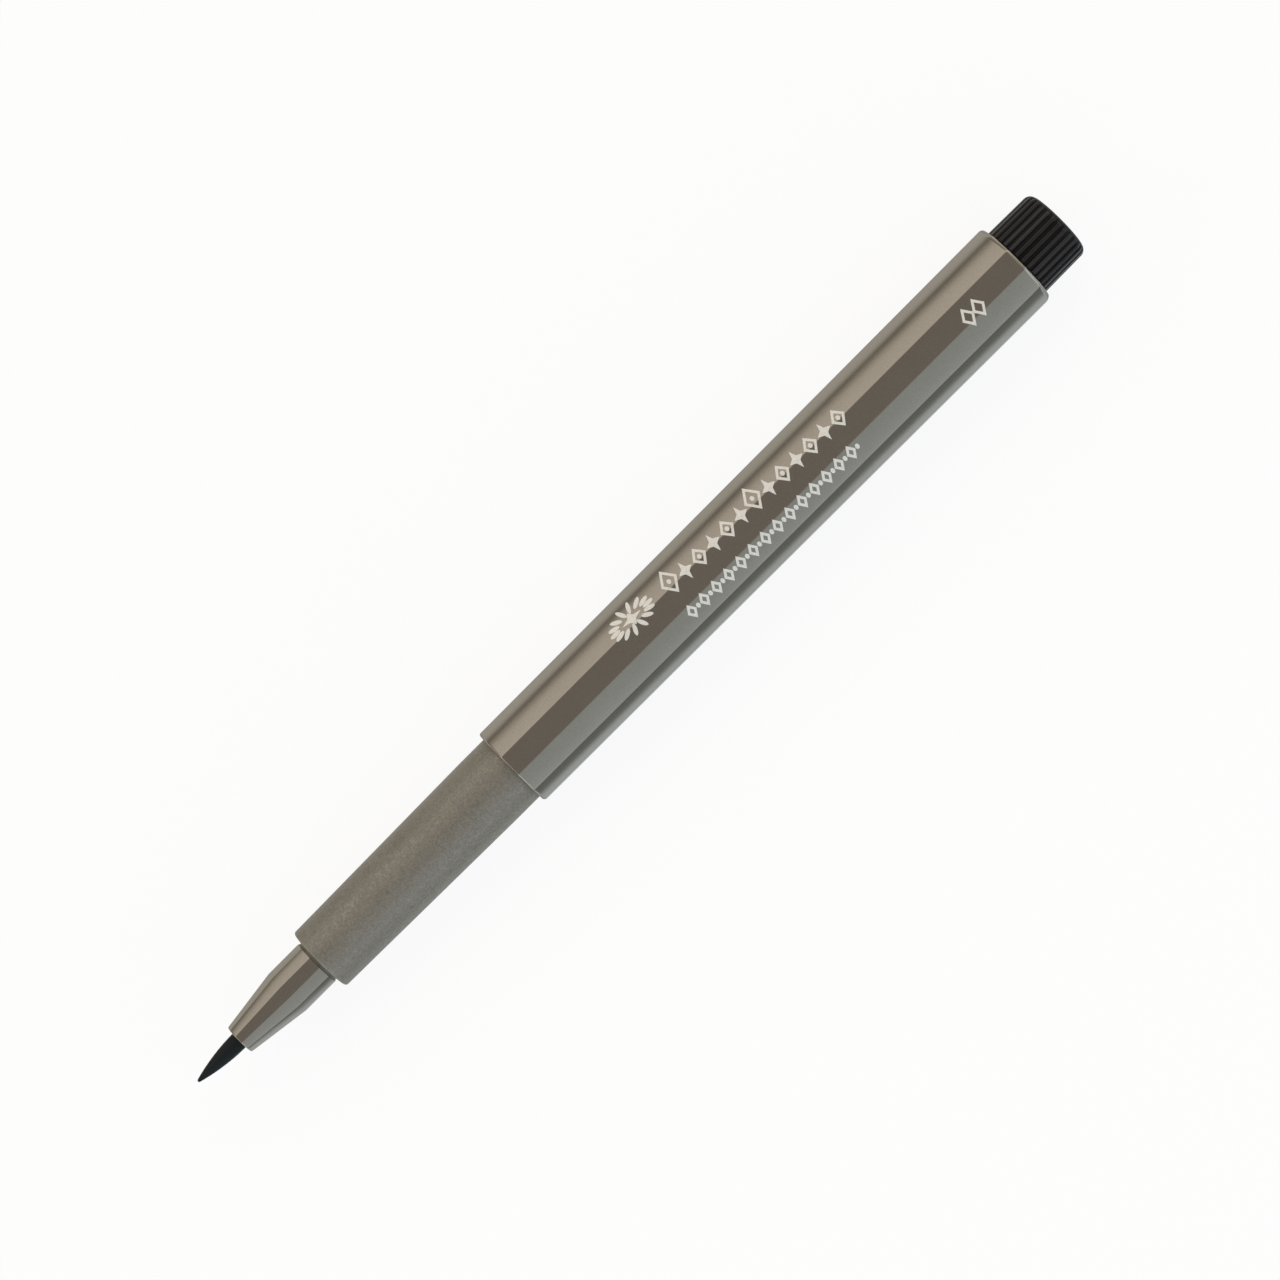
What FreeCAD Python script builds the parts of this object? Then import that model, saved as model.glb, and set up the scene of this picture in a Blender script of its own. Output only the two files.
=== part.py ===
"""Calligraphy brush marker, uncapped and lying on one flat of its barrel.

Every piece is drawn in the pen's own coordinates: X runs along the axis from
the brush tip (station 0) to the end plug, and the axis is at Y = Z = 0.  The
placement of each body then centres the pen over the origin and lifts the axis
so that the barrel's lowest flat rests on Z = 0.  All sizes are millimetres.
"""
import FreeCAD, Part
import Sketcher
import math
import os
import re

from FreeCAD import Vector

FACETS = 12
TOUCH = 1e-4

# Driving dimensions: (alias, value, what it is).
DIMENSIONS = (
    # brush nib
    ("nib_exposed", 6.72, "length of the nib in front of the nose rim"),
    ("nib_radius", 1.08, "radius of the nib's shank"),
    ("nib_point_radius", 0.2, "rounding of the writing point"),
    ("nib_entry", 5.77, "depth of the nib's tail in the reservoir"),
    ("nib_tail_taper", 4.0, "length of the tapered tail"),
    ("nib_tail_radius", 0.6, "radius of the tail's blunt end"),
    ("nib_tail_gap", 1.2, "tail to the bottom of its hole in the reservoir"),
    ("nib_play", 0.02, "radial play of the nib in its bores"),
    # nose cone, a twelve-sided taper with a round spigot
    ("nose_taper_length", 7.63, "tapered twelve-sided length"),
    ("nose_straight_length", 4.72, "straight twelve-sided length"),
    ("nose_neck_length", 0.48, "round neck between the flats and the grip"),
    ("nose_flare", 0.22, "rise of the neck where it meets the grip"),
    ("nose_rim_wall", 0.82, "nib bore to flat at the rim"),
    ("nose_step", 0.21, "spigot to flat on the straight length"),
    ("nose_spigot_wall", 1.12, "liner to the outside of the spigot"),
    ("nose_spigot_length", 9.7, "depth of the spigot in the grip"),
    ("nose_mouth_length", 3.0, "land at the mouth that guides the nib"),
    ("nose_rim_round", 0.18, "rounding of the rim"),
    ("nose_vent_radius", 0.22, "air grooves along the mouth land"),
    # liner that grips the nib's shank behind the mouth land
    ("liner_wall", 0.5, "wall of the liner"),
    ("liner_vent_radius", 0.22, "air grooves along the liner"),
    # grip section
    ("grip_length", 30.72, "grip that shows in front of the barrel"),
    ("grip_taper", 0.32, "fall of the radius from the cap seat to the front"),
    ("grip_shoulder", 0.39, "spigot to the cap seat's surface"),
    ("grip_seat_length", 4.0, "parallel cap seat in front of the barrel"),
    ("grip_collar_rise", 0.1, "rise of the conical collar inside the barrel's mouth"),
    ("grip_front_round", 0.3, "rounding of the front edge"),
    ("grip_bore_play", 0.12, "radial play of the reservoir in the grip"),
    ("spigot_wall", 0.91, "wall of the grip's spigot"),
    ("spigot_length", 14.0, "length of the grip's spigot in the barrel"),
    ("spigot_lead", 0.5, "length of the spigot's lead-in"),
    ("spigot_play", 0.02, "radial play of both spigots in the barrel"),
    # barrel
    ("barrel_length", 80.75, "length of the barrel"),
    ("barrel_lip_wall", 0.585, "mouth to flat at the front"),
    ("barrel_rise", 0.236, "rise of the flats from front to rear"),
    ("barrel_mouth_depth", 2.0, "depth of the wider mouth"),
    ("barrel_mouth_play", 0.03, "gap between the grip's collar and the mouth"),
    ("barrel_front_round", 0.3, "rounding of the front rim"),
    ("barrel_rear_round", 0.6, "rounding of the rear rim"),
    ("barrel_rib_width", 0.8, "width of a rib inside the bore"),
    ("barrel_rib_gap", 2.0, "ribs end this far from the spigots"),
    # reservoir
    ("reservoir_front_gap", 1.2, "nose spigot to the reservoir"),
    ("reservoir_rear_gap", 0.5, "reservoir to the plug's inner ribs"),
    ("reservoir_play", 0.02, "radial play between film and ribs"),
    ("film_radius", 3.1, "outside of the film"),
    ("film_wall", 0.15, "thickness of the film"),
    ("film_setback", 0.6, "bare fibre at each end of the film"),
    # end plug
    ("plug_head_length", 6.82, "ribbed head behind the barrel"),
    ("plug_seam", 0.1, "seam between barrel and head"),
    ("plug_step", 0.51, "spigot to the crest of the ribs at the barrel"),
    ("plug_taper", 0.06, "fall of the crests from the barrel to the end"),
    ("plug_corner_round", 0.9, "rounding of the end's corner"),
    ("plug_dome", 0.25, "rise of the domed end"),
    ("plug_groove_depth", 0.24, "depth of the grooves between ribs"),
    ("plug_groove_width", 0.58, "width of a groove at the crest"),
    ("plug_spigot_length", 8.0, "spigot inside the barrel"),
    ("plug_wall", 0.83, "wall of the plug's spigot"),
    ("plug_floor", 1.5, "thickness of the closed end"),
    ("plug_rib_width", 0.7, "ribs that hold the reservoir forward"),
    ("plug_rib_height", 1.7, "height of those ribs from the hollow's wall"),
)

ALIASES = {alias for alias, _, _ in DIMENSIONS}

PLUG_GROOVES = 30
BARREL_RIBS = 6
PLUG_RIBS = 4
VENTS = 3

# Stations along the axis, each an expression of driving dimensions.
STATIONS = {
    "nose_front": "nib_exposed",
    "nose_shoulder": "nose_front + nose_taper_length",
    "nose_neck": "nose_shoulder + nose_straight_length",
    "grip_front": "nose_neck + nose_neck_length",
    "nose_rear": "grip_front + nose_spigot_length",
    "liner_front": "nose_front + nose_mouth_length",
    "barrel_front": "grip_front + grip_length",
    "seat_front": "barrel_front - grip_seat_length",
    "mouth_floor": "barrel_front + barrel_mouth_depth",
    "grip_rear": "mouth_floor + spigot_length",
    "barrel_rear": "barrel_front + barrel_length",
    "head_front": "barrel_rear + plug_seam",
    "plug_front": "barrel_rear - plug_spigot_length",
    "plug_rear": "head_front + plug_head_length",
    "plug_hollow_end": "plug_rear - plug_floor",
    "reservoir_front": "nose_rear + reservoir_front_gap",
    "reservoir_rear": "plug_front - reservoir_rear_gap",
    "nib_rear": "reservoir_front + nib_entry",
    "nib_hole_end": "nib_rear + nib_tail_gap",
    "rib_front": "grip_rear + barrel_rib_gap",
    "rib_rear": "plug_front - barrel_rib_gap",
}

# Distances from the axis, built outwards from the nib and from the film.
RADII = {
    "nib_bore": "nib_radius + nib_play",
    "liner_outside": "nib_bore + liner_wall",
    "nose_spigot": "liner_outside + nose_spigot_wall",
    "nose_rim_flat": "nib_bore + nose_rim_wall",
    "nose_rear_flat": "nose_spigot + nose_step",
    "nose_blank": "1.2 * nose_rear_flat",
    "nose_collar": "nose_rear_flat + nose_flare",
    "fibre_outside": "film_radius - film_wall",
    "grip_bore": "film_radius + grip_bore_play",
    "spigot_outside": "grip_bore + spigot_wall",
    "spigot_tip": "spigot_outside - spigot_wall / 4",
    "grip_seat": "spigot_outside + grip_shoulder",
    "grip_nose": "grip_seat - grip_taper",
    "barrel_bore": "spigot_outside + spigot_play",
    "grip_collar": "grip_seat + grip_collar_rise",
    "barrel_mouth": "grip_collar + barrel_mouth_play",
    "barrel_front_flat": "barrel_mouth + barrel_lip_wall",
    "barrel_rear_flat": "barrel_front_flat + barrel_rise",
    "barrel_blank": "1.2 * barrel_rear_flat",
    "rest_height": "barrel_rear_flat - barrel_rise * barrel_rear_round / barrel_length",
    "rib_crest": "film_radius + reservoir_play",
    "rib_root": "(barrel_bore + barrel_front_flat) / 2",
    "plug_front_crest": "spigot_outside + plug_step",
    "plug_rear_crest": "plug_front_crest - plug_taper",
    "plug_hollow": "spigot_outside - plug_wall",
    "plug_rib_crest": "plug_hollow - plug_rib_height",
    "plug_rib_root": "(plug_hollow + spigot_outside) / 2",
    "plug_groove_root": "plug_rear_crest - plug_groove_depth",
    "plug_groove_top": "plug_front_crest + plug_groove_depth",
}

PLACES = {**STATIONS, **RADII}


def make_sheet(doc):
    """Put every driving dimension in a spreadsheet, one alias a row."""
    sheet = doc.addObject("Spreadsheet::Sheet", "Sizes")
    for row, (alias, value, note) in enumerate(DIMENSIONS, 1):
        sheet.set(f"A{row}", note)
        sheet.set(f"B{row}", str(value))
        sheet.setAlias(f"B{row}", alias)
    doc.recompute()
    return sheet


def spelled(expression):
    """Write an expression of places and sizes in the sheet's aliases only."""
    def replace(match):
        word = match.group(0)
        if word in PLACES:
            return f"({spelled(PLACES[word])})"
        return f"Sizes.{word}" if word in ALIASES else word
    return re.sub(r"[a-z_]+", replace, expression)


def number(sheet, expression):
    """The value of an expression of places and sizes."""
    return float(sheet.evalExpression(spelled(expression)))


def new_body(doc, name):
    """A body whose placement centres the pen and rests it on the floor."""
    body = doc.addObject("PartDesign::Body", name)
    body.Label = name
    body.setExpression(".Placement.Base.x", spelled("-plug_rear / 2"))
    body.setExpression(".Placement.Base.z", spelled("rest_height"))
    return body


def origin_plane(body, role):
    """One of the body's own origin planes."""
    return next(item for item in body.Origin.OriginFeatures if item.Role == role)


def new_sketch(body, name, role, station=None):
    """A sketch on an origin plane, moved along the plane's normal to a station."""
    sketch = body.newObject("Sketcher::SketchObject", name)
    sketch.AttachmentSupport = [(origin_plane(body, role), "")]
    sketch.MapMode = "FlatFace"
    if station is not None:
        sketch.setExpression(".AttachmentOffset.Base.z", spelled(station))
    return sketch


def bind(sketch, index, name, expression):
    """Name a sketch constraint and tie it to the sheet."""
    sketch.renameConstraint(index, name)
    sketch.setExpression(f"Constraints.{name}", spelled(expression))


def pin_vertex(sketch, sheet, line, corner, label, along, across):
    """Hold one corner of a profile at (along, across) from the origin."""
    for axis, kind, expression in (("x", "DistanceX", along), ("y", "DistanceY", across)):
        value = number(sheet, expression)
        if expression == "0":
            on_axis = -2 if axis == "x" else -1
            sketch.addConstraint(Sketcher.Constraint("PointOnObject", line, corner, on_axis))
            continue
        constraint = Sketcher.Constraint(kind, -1, 1, line, corner, value)
        bind(sketch, sketch.addConstraint(constraint), f"{label}_{axis}", expression)


def lathe_profile(body, sheet, name, corners):
    """A closed outline of straight sides, corner by corner, for turning."""
    sketch = new_sketch(body, name, "XZ_Plane")
    points = [Vector(number(sheet, u), number(sheet, r), 0) for u, r in corners]
    count = len(points)
    for index in range(count):
        sketch.addGeometry(Part.LineSegment(points[index], points[(index + 1) % count]))
    for index in range(count):
        following = (index + 1) % count
        sketch.addConstraint(Sketcher.Constraint("Coincident", index, 2, following, 1))
    for index, (along, across) in enumerate(corners):
        pin_vertex(sketch, sheet, index, 1, f"corner_{index}", along, across)
    return sketch


def turned(body, sketch, kind, name):
    """Turn a profile about the pen's axis, adding or cutting material."""
    feature = body.newObject(f"PartDesign::{kind}", name)
    feature.Profile = sketch
    feature.ReferenceAxis = (sketch, ["H_Axis"])
    feature.Angle = 360.0
    return feature


def flats(body, sheet, name, corners, width):
    """Cut one flat along a blank, above a side view, and repeat it round the axis."""
    view = lathe_profile(body, sheet, f"{name}_view", corners)
    flat = body.newObject("PartDesign::Pocket", f"{name}_flat")
    flat.Profile = view
    flat.SideType = "Symmetric"
    flat.setExpression("Length", spelled(width))
    body.Document.recompute()
    return around(body, flat, f"{name}_flats", FACETS, "H_Axis")


def pad(body, sketch, name, length):
    """Pad a sketch along the pen's axis."""
    feature = body.newObject("PartDesign::Pad", name)
    feature.Profile = sketch
    feature.setExpression("Length", spelled(length))
    return feature


def rectangle_sketch(body, sheet, name, station, width, inner, outer):
    """A rectangle above the axis, from one radius to another."""
    sketch = new_sketch(body, name, "YZ_Plane", station)
    corners = (
        (f"-({width}) / 2", inner),
        (f"({width}) / 2", inner),
        (f"({width}) / 2", outer),
        (f"-({width}) / 2", outer),
    )
    points = [Vector(number(sheet, y), number(sheet, z), 0) for y, z in corners]
    for index in range(len(points)):
        sketch.addGeometry(Part.LineSegment(points[index], points[(index + 1) % len(points)]))
    for index in range(len(points)):
        following = (index + 1) % len(points)
        sketch.addConstraint(Sketcher.Constraint("Coincident", index, 2, following, 1))
    for index, (across, up) in enumerate(corners):
        pin_vertex(sketch, sheet, index, 1, f"corner_{index}", across, up)
    return sketch


def round_hole_sketch(body, sheet, name, station, height, radius):
    """A circle above the axis, for a groove that runs along the pen."""
    sketch = new_sketch(body, name, "YZ_Plane", station)
    centre = Vector(0, number(sheet, height), 0)
    circle = sketch.addGeometry(Part.Circle(centre, Vector(0, 0, 1), number(sheet, radius)))
    sketch.addConstraint(Sketcher.Constraint("PointOnObject", circle, 3, -2))
    up = Sketcher.Constraint("DistanceY", -1, 1, circle, 3, centre.y)
    bind(sketch, sketch.addConstraint(up), "height", height)
    size = Sketcher.Constraint("Radius", circle, number(sheet, radius))
    bind(sketch, sketch.addConstraint(size), "radius", radius)
    return sketch


def pocket(body, sketch, name, length):
    """Cut a sketch's outline from its plane towards the end plug."""
    before = body.Shape.Volume
    feature = body.newObject("PartDesign::Pocket", name)
    feature.Profile = sketch
    feature.Reversed = True
    feature.setExpression("Length", spelled(length))
    body.Document.recompute()
    if not feature.Shape.Volume < before:
        raise ValueError(f"{name} cuts nothing")
    return feature


def around(body, feature, name, count, axis="N_Axis"):
    """Repeat a feature evenly about the pen's axis, an axis of its sketch."""
    pattern = body.newObject("PartDesign::PolarPattern", name)
    pattern.Originals = [feature]
    pattern.Axis = (feature.Profile[0], [axis])
    pattern.Angle = 360.0
    pattern.Occurrences = count
    body.Tip = pattern
    body.Document.recompute()
    return pattern


def off_axis(point):
    """Distance of a point from the pen's axis."""
    return math.hypot(point.y, point.z)


def rim_edges(shape, station, least, most):
    """Edges that lie across the axis at a station, between two radii."""
    found = []
    for index, edge in enumerate(shape.Edges, 1):
        box = edge.BoundBox
        across = abs(box.XMin - station) < TOUCH and abs(box.XMax - station) < TOUCH
        if across and all(least < off_axis(v.Point) < most for v in edge.Vertexes):
            found.append(f"Edge{index}")
    return found


def fillet(body, base, name, edges, radius):
    """Round named edges of the feature before."""
    if not edges:
        raise ValueError(f"{name} has no edge to round")
    feature = body.newObject("PartDesign::Fillet", name)
    feature.Base = (base, edges)
    feature.setExpression("Radius", spelled(radius))
    body.Document.recompute()
    return feature


def brush_nib(doc, sheet):
    """Fibre nib: rounded point, long ogive, plain shank and tapered tail."""
    body = new_body(doc, "brush_nib")
    sketch = new_sketch(body, "nib_outline", "XZ_Plane")
    mouth = number(sheet, "nib_exposed")
    shank = number(sheet, "nib_radius")
    point = number(sheet, "nib_point_radius")
    tail = number(sheet, "nib_tail_radius")
    rear = number(sheet, "nib_rear")
    taper = rear - number(sheet, "nib_tail_taper")
    # The ogive is tangent to the shank at the mouth and to the rounded point.
    ogive = (mouth ** 2 - 2 * mouth * point + shank ** 2) / (2 * (shank - point))
    ogive_centre = Vector(mouth, shank - ogive, 0)
    point_centre = Vector(point, 0, 0)
    reach = math.atan2(-ogive_centre.y, point - mouth)
    meeting = point_centre + Vector(math.cos(reach), math.sin(reach), 0) * point
    up = Vector(0, 0, 1)
    tip_arc = Part.ArcOfCircle(Part.Circle(point_centre, up, point), reach, math.pi)
    ogive_arc = Part.ArcOfCircle(Part.Circle(ogive_centre, up, ogive), math.pi / 2, reach)
    sides = (
        tip_arc,
        ogive_arc,
        Part.LineSegment(Vector(mouth, shank, 0), Vector(taper, shank, 0)),
        Part.LineSegment(Vector(taper, shank, 0), Vector(rear, tail, 0)),
        Part.LineSegment(Vector(rear, tail, 0), Vector(rear, 0, 0)),
        Part.LineSegment(Vector(rear, 0, 0), Vector(0, 0, 0)),
    )
    for side in sides:
        sketch.addGeometry(side)
    add = sketch.addConstraint
    add(Sketcher.Constraint("Coincident", 5, 2, -1, 1))
    add(Sketcher.Constraint("Coincident", 0, 2, -1, 1))
    add(Sketcher.Constraint("PointOnObject", 0, 3, -1))
    add(Sketcher.Constraint("Tangent", 0, 1, 1, 2))
    add(Sketcher.Constraint("Tangent", 1, 1, 2, 1))
    add(Sketcher.Constraint("Horizontal", 2))
    for index in (2, 3, 4):
        add(Sketcher.Constraint("Coincident", index, 2, index + 1, 1))
    add(Sketcher.Constraint("PointOnObject", 5, 1, -1))
    bind(sketch, add(Sketcher.Constraint("Radius", 0, point)), "point", "nib_point_radius")
    pin_vertex(sketch, sheet, 2, 1, "mouth", "nib_exposed", "nib_radius")
    along = add(Sketcher.Constraint("DistanceX", -1, 1, 3, 1, taper))
    bind(sketch, along, "taper_start", "nib_rear - nib_tail_taper")
    pin_vertex(sketch, sheet, 4, 1, "tail", "nib_rear", "nib_tail_radius")
    add(Sketcher.Constraint("Vertical", 4))
    turned(body, sketch, "Revolution", "nib_body")
    return body


def nib_liner(doc, sheet):
    """Sleeve that grips the nib's shank, with air grooves along its outside."""
    body = new_body(doc, "nib_liner")
    outline = lathe_profile(body, sheet, "liner_outline", (
        ("liner_front", "nib_bore"),
        ("nose_rear", "nib_bore"),
        ("nose_rear", "liner_outside"),
        ("liner_front", "liner_outside"),
    ))
    turned(body, outline, "Revolution", "liner_tube")
    doc.recompute()
    hole = round_hole_sketch(body, sheet, "liner_vent_outline", "liner_front",
                             "liner_outside", "liner_vent_radius")
    groove = pocket(body, hole, "liner_vent", "nose_rear - liner_front")
    around(body, groove, "liner_vents", VENTS)
    return body


def nose_cone(doc, sheet):
    """Twelve-sided nose with a round neck, a spigot and the nib's bore."""
    body = new_body(doc, "nose_cone")
    outline = lathe_profile(body, sheet, "nose_blank_outline", (
        ("nose_front", "0"),
        ("nose_front", "nose_blank"),
        ("nose_neck", "nose_blank"),
        ("nose_neck", "0"),
    ))
    turned(body, outline, "Revolution", "nose_blank")
    solid = flats(body, sheet, "nose", (
        ("nose_front", "nose_rim_flat"),
        ("nose_shoulder", "nose_rear_flat"),
        ("nose_neck", "nose_rear_flat"),
        ("nose_neck", "2 * nose_blank"),
        ("nose_front", "2 * nose_blank"),
    ), "3 * nose_blank")
    rim = rim_edges(solid.Shape, number(sheet, "nose_front"), 0.0, number(sheet, "nose_rear_flat"))
    fillet(body, solid, "nose_rim", rim, "nose_rim_round")
    spigot = lathe_profile(body, sheet, "nose_spigot_outline", (
        ("nose_shoulder", "0"),
        ("nose_shoulder", "nose_spigot"),
        ("nose_neck", "nose_spigot"),
        ("nose_neck", "nose_rear_flat"),
        ("grip_front", "nose_collar"),
        ("grip_front", "nose_spigot"),
        ("nose_rear", "nose_spigot"),
        ("nose_rear", "0"),
    ))
    turned(body, spigot, "Revolution", "nose_spigot")
    bore = lathe_profile(body, sheet, "nose_bore_outline", (
        ("0", "0"),
        ("0", "nib_bore"),
        ("liner_front", "nib_bore"),
        ("liner_front", "liner_outside"),
        ("nib_rear", "liner_outside"),
        ("nib_rear", "0"),
    ))
    turned(body, bore, "Groove", "nose_bore")
    doc.recompute()
    hole = round_hole_sketch(body, sheet, "nose_vent_outline", "nose_front",
                             "nib_bore", "nose_vent_radius")
    groove = pocket(body, hole, "nose_vent", "nose_mouth_length")
    around(body, groove, "nose_vents", VENTS)
    return body


def grip_section(doc, sheet):
    """Tapered grip with a parallel cap seat and a spigot for the barrel."""
    body = new_body(doc, "grip_section")
    outline = lathe_profile(body, sheet, "grip_outline", (
        ("grip_front", "nose_spigot"),
        ("grip_front", "grip_nose"),
        ("seat_front", "grip_seat"),
        ("barrel_front", "grip_seat"),
        ("mouth_floor", "grip_collar"),
        ("mouth_floor", "spigot_outside"),
        ("grip_rear - spigot_lead", "spigot_outside"),
        ("grip_rear", "spigot_tip"),
        ("grip_rear", "grip_bore"),
        ("nose_rear", "grip_bore"),
        ("nose_rear", "nose_spigot"),
    ))
    solid = turned(body, outline, "Revolution", "grip_tube")
    doc.recompute()
    front = number(sheet, "grip_front")
    radius = number(sheet, "grip_nose")
    edges = rim_edges(solid.Shape, front, radius - TOUCH, radius + TOUCH)
    fillet(body, solid, "grip_front_edge", edges, "grip_front_round")
    return body


def barrel(doc, sheet):
    """Twelve-sided barrel, drafted towards the front, ribbed inside."""
    body = new_body(doc, "barrel")
    outline = lathe_profile(body, sheet, "barrel_blank_outline", (
        ("barrel_front", "0"),
        ("barrel_front", "barrel_blank"),
        ("barrel_rear", "barrel_blank"),
        ("barrel_rear", "0"),
    ))
    turned(body, outline, "Revolution", "barrel_blank")
    solid = flats(body, sheet, "barrel", (
        ("barrel_front", "barrel_front_flat"),
        ("barrel_rear", "barrel_rear_flat"),
        ("barrel_rear", "2 * barrel_blank"),
        ("barrel_front", "2 * barrel_blank"),
    ), "3 * barrel_blank")
    front = number(sheet, "barrel_front")
    rear = number(sheet, "barrel_rear")
    reach = 2 * number(sheet, "barrel_rear_flat")
    solid = fillet(body, solid, "barrel_lip", rim_edges(solid.Shape, front, 0.0, reach),
                   "barrel_front_round")
    fillet(body, solid, "barrel_rear_rim", rim_edges(solid.Shape, rear, 0.0, reach),
           "barrel_rear_round")
    bore = lathe_profile(body, sheet, "barrel_bore_outline", (
        ("barrel_front", "0"),
        ("barrel_front", "barrel_mouth"),
        ("mouth_floor", "barrel_mouth"),
        ("mouth_floor", "barrel_bore"),
        ("barrel_rear", "barrel_bore"),
        ("barrel_rear", "0"),
    ))
    turned(body, bore, "Groove", "barrel_bore")
    doc.recompute()
    bar = rectangle_sketch(body, sheet, "barrel_rib_outline", "rib_front", "barrel_rib_width",
                           "rib_crest", "rib_root")
    rib = pad(body, bar, "barrel_rib", "rib_rear - rib_front")
    around(body, rib, "barrel_ribs", BARREL_RIBS)
    return body


def reservoir_fibre(doc, sheet):
    """Bonded fibre rod that holds the ink, open where the nib enters."""
    body = new_body(doc, "reservoir_fibre")
    outline = lathe_profile(body, sheet, "fibre_outline", (
        ("nib_hole_end", "0"),
        ("nib_hole_end", "nib_bore"),
        ("reservoir_front", "nib_bore"),
        ("reservoir_front", "fibre_outside"),
        ("reservoir_rear", "fibre_outside"),
        ("reservoir_rear", "0"),
    ))
    turned(body, outline, "Revolution", "fibre_rod")
    return body


def reservoir_film(doc, sheet):
    """Film wrapped round the fibre rod, a little shorter than the rod."""
    body = new_body(doc, "reservoir_film")
    outline = lathe_profile(body, sheet, "film_outline", (
        ("reservoir_front + film_setback", "fibre_outside"),
        ("reservoir_front + film_setback", "film_radius"),
        ("reservoir_rear - film_setback", "film_radius"),
        ("reservoir_rear - film_setback", "fibre_outside"),
    ))
    turned(body, outline, "Revolution", "film_tube")
    return body


def end_plug(doc, sheet):
    """Plug with a grooved head, a hollow spigot and inner stop ribs."""
    body = new_body(doc, "end_plug")
    outline = lathe_profile(body, sheet, "plug_outline", (
        ("plug_front", "0"),
        ("plug_front", "spigot_outside"),
        ("head_front", "spigot_outside"),
        ("head_front", "plug_front_crest"),
        ("plug_rear - plug_dome", "plug_rear_crest"),
        ("plug_rear", "0"),
    ))
    solid = turned(body, outline, "Revolution", "plug_body")
    doc.recompute()
    corner = number(sheet, "plug_rear - plug_dome")
    radius = number(sheet, "plug_rear_crest")
    edges = rim_edges(solid.Shape, corner, radius - TOUCH, radius + TOUCH)
    fillet(body, solid, "plug_corner", edges, "plug_corner_round")
    hollow = lathe_profile(body, sheet, "plug_hollow_outline", (
        ("plug_front", "0"),
        ("plug_front", "plug_hollow"),
        ("plug_hollow_end", "plug_hollow"),
        ("plug_hollow_end", "0"),
    ))
    turned(body, hollow, "Groove", "plug_hollow")
    doc.recompute()
    bar = rectangle_sketch(body, sheet, "plug_rib_outline", "plug_front", "plug_rib_width",
                           "plug_rib_crest", "plug_rib_root")
    rib = pad(body, bar, "plug_rib", "plug_hollow_end - plug_front + plug_floor / 2")
    around(body, rib, "plug_ribs", PLUG_RIBS)
    slot = rectangle_sketch(body, sheet, "plug_groove_outline", "head_front", "plug_groove_width",
                            "plug_groove_root", "plug_groove_top")
    groove = pocket(body, slot, "plug_groove", "plug_head_length")
    around(body, groove, "plug_grooves", PLUG_GROOVES)
    return body


BUILDERS = (
    brush_nib,
    nib_liner,
    nose_cone,
    grip_section,
    barrel,
    reservoir_fibre,
    reservoir_film,
    end_plug,
)


def check(doc, bodies):
    """Stop if any object failed or any sub-part is not one valid solid."""
    for item in doc.Objects:
        if {"Invalid", "Error"} & set(item.State):
            raise ValueError(f"{item.Name} failed: {item.State}")
    for body in bodies:
        shape = body.Shape
        if shape.isNull() or not shape.isValid() or len(shape.Solids) != 1:
            raise ValueError(f"{body.Label} is not one valid solid")


def main():
    """Build every sub-part and write one STEP file each."""
    doc = FreeCAD.newDocument("brush_marker")
    sheet = make_sheet(doc)
    bodies = [build(doc, sheet) for build in BUILDERS]
    doc.recompute()
    check(doc, bodies)
    os.makedirs("parts", exist_ok=True)
    for body in bodies:
        body.Shape.exportStep(os.path.join("parts", f"{body.Label}.step"))
        box = body.Shape.BoundBox
        print(f"{body.Label}: {body.Shape.Volume:.1f} mm3, "
              f"x {box.XMin:.2f} to {box.XMax:.2f}, z {box.ZMin:.2f} to {box.ZMax:.2f}")


main()
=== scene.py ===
"""Looks of an uncapped calligraphy brush marker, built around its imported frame.

The marker lies along X with its brush tip towards -X, resting on one flat of
its twelve-sided barrel.  Every outline below is a list of (station, radius)
points in metres, measured along and away from the pen's axis.
"""
import logging
import math
from collections import Counter
from dataclasses import dataclass, field
from enum import Enum
from typing import Callable, Sequence

import bpy
from mathutils import Matrix, Vector


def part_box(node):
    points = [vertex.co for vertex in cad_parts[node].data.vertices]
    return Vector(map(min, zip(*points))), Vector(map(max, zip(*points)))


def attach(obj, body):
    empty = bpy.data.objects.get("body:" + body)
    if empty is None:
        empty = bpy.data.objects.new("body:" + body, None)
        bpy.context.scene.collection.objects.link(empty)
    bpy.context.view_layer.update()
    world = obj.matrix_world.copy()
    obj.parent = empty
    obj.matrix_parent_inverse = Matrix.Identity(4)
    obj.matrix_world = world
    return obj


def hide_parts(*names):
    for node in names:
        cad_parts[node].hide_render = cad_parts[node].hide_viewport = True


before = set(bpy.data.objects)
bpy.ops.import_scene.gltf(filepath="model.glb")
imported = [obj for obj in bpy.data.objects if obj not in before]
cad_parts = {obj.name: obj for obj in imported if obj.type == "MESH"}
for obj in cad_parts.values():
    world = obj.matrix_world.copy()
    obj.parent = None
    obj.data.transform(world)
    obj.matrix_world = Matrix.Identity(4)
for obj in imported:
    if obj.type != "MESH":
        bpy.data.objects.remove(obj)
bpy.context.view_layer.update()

LOG = logging.getLogger("marker")
MM = 0.001
FACETS = 12
HALF_FACET = math.pi / FACETS
TURN = 2 * math.pi
SEED = 1e-4
MERGE = 1e-6
RING_DECIMALS = 7
Outline = list[tuple[float, float]]
Colour = tuple[float, float, float]


# ---------------------------------------------------------------- the axis


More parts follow.
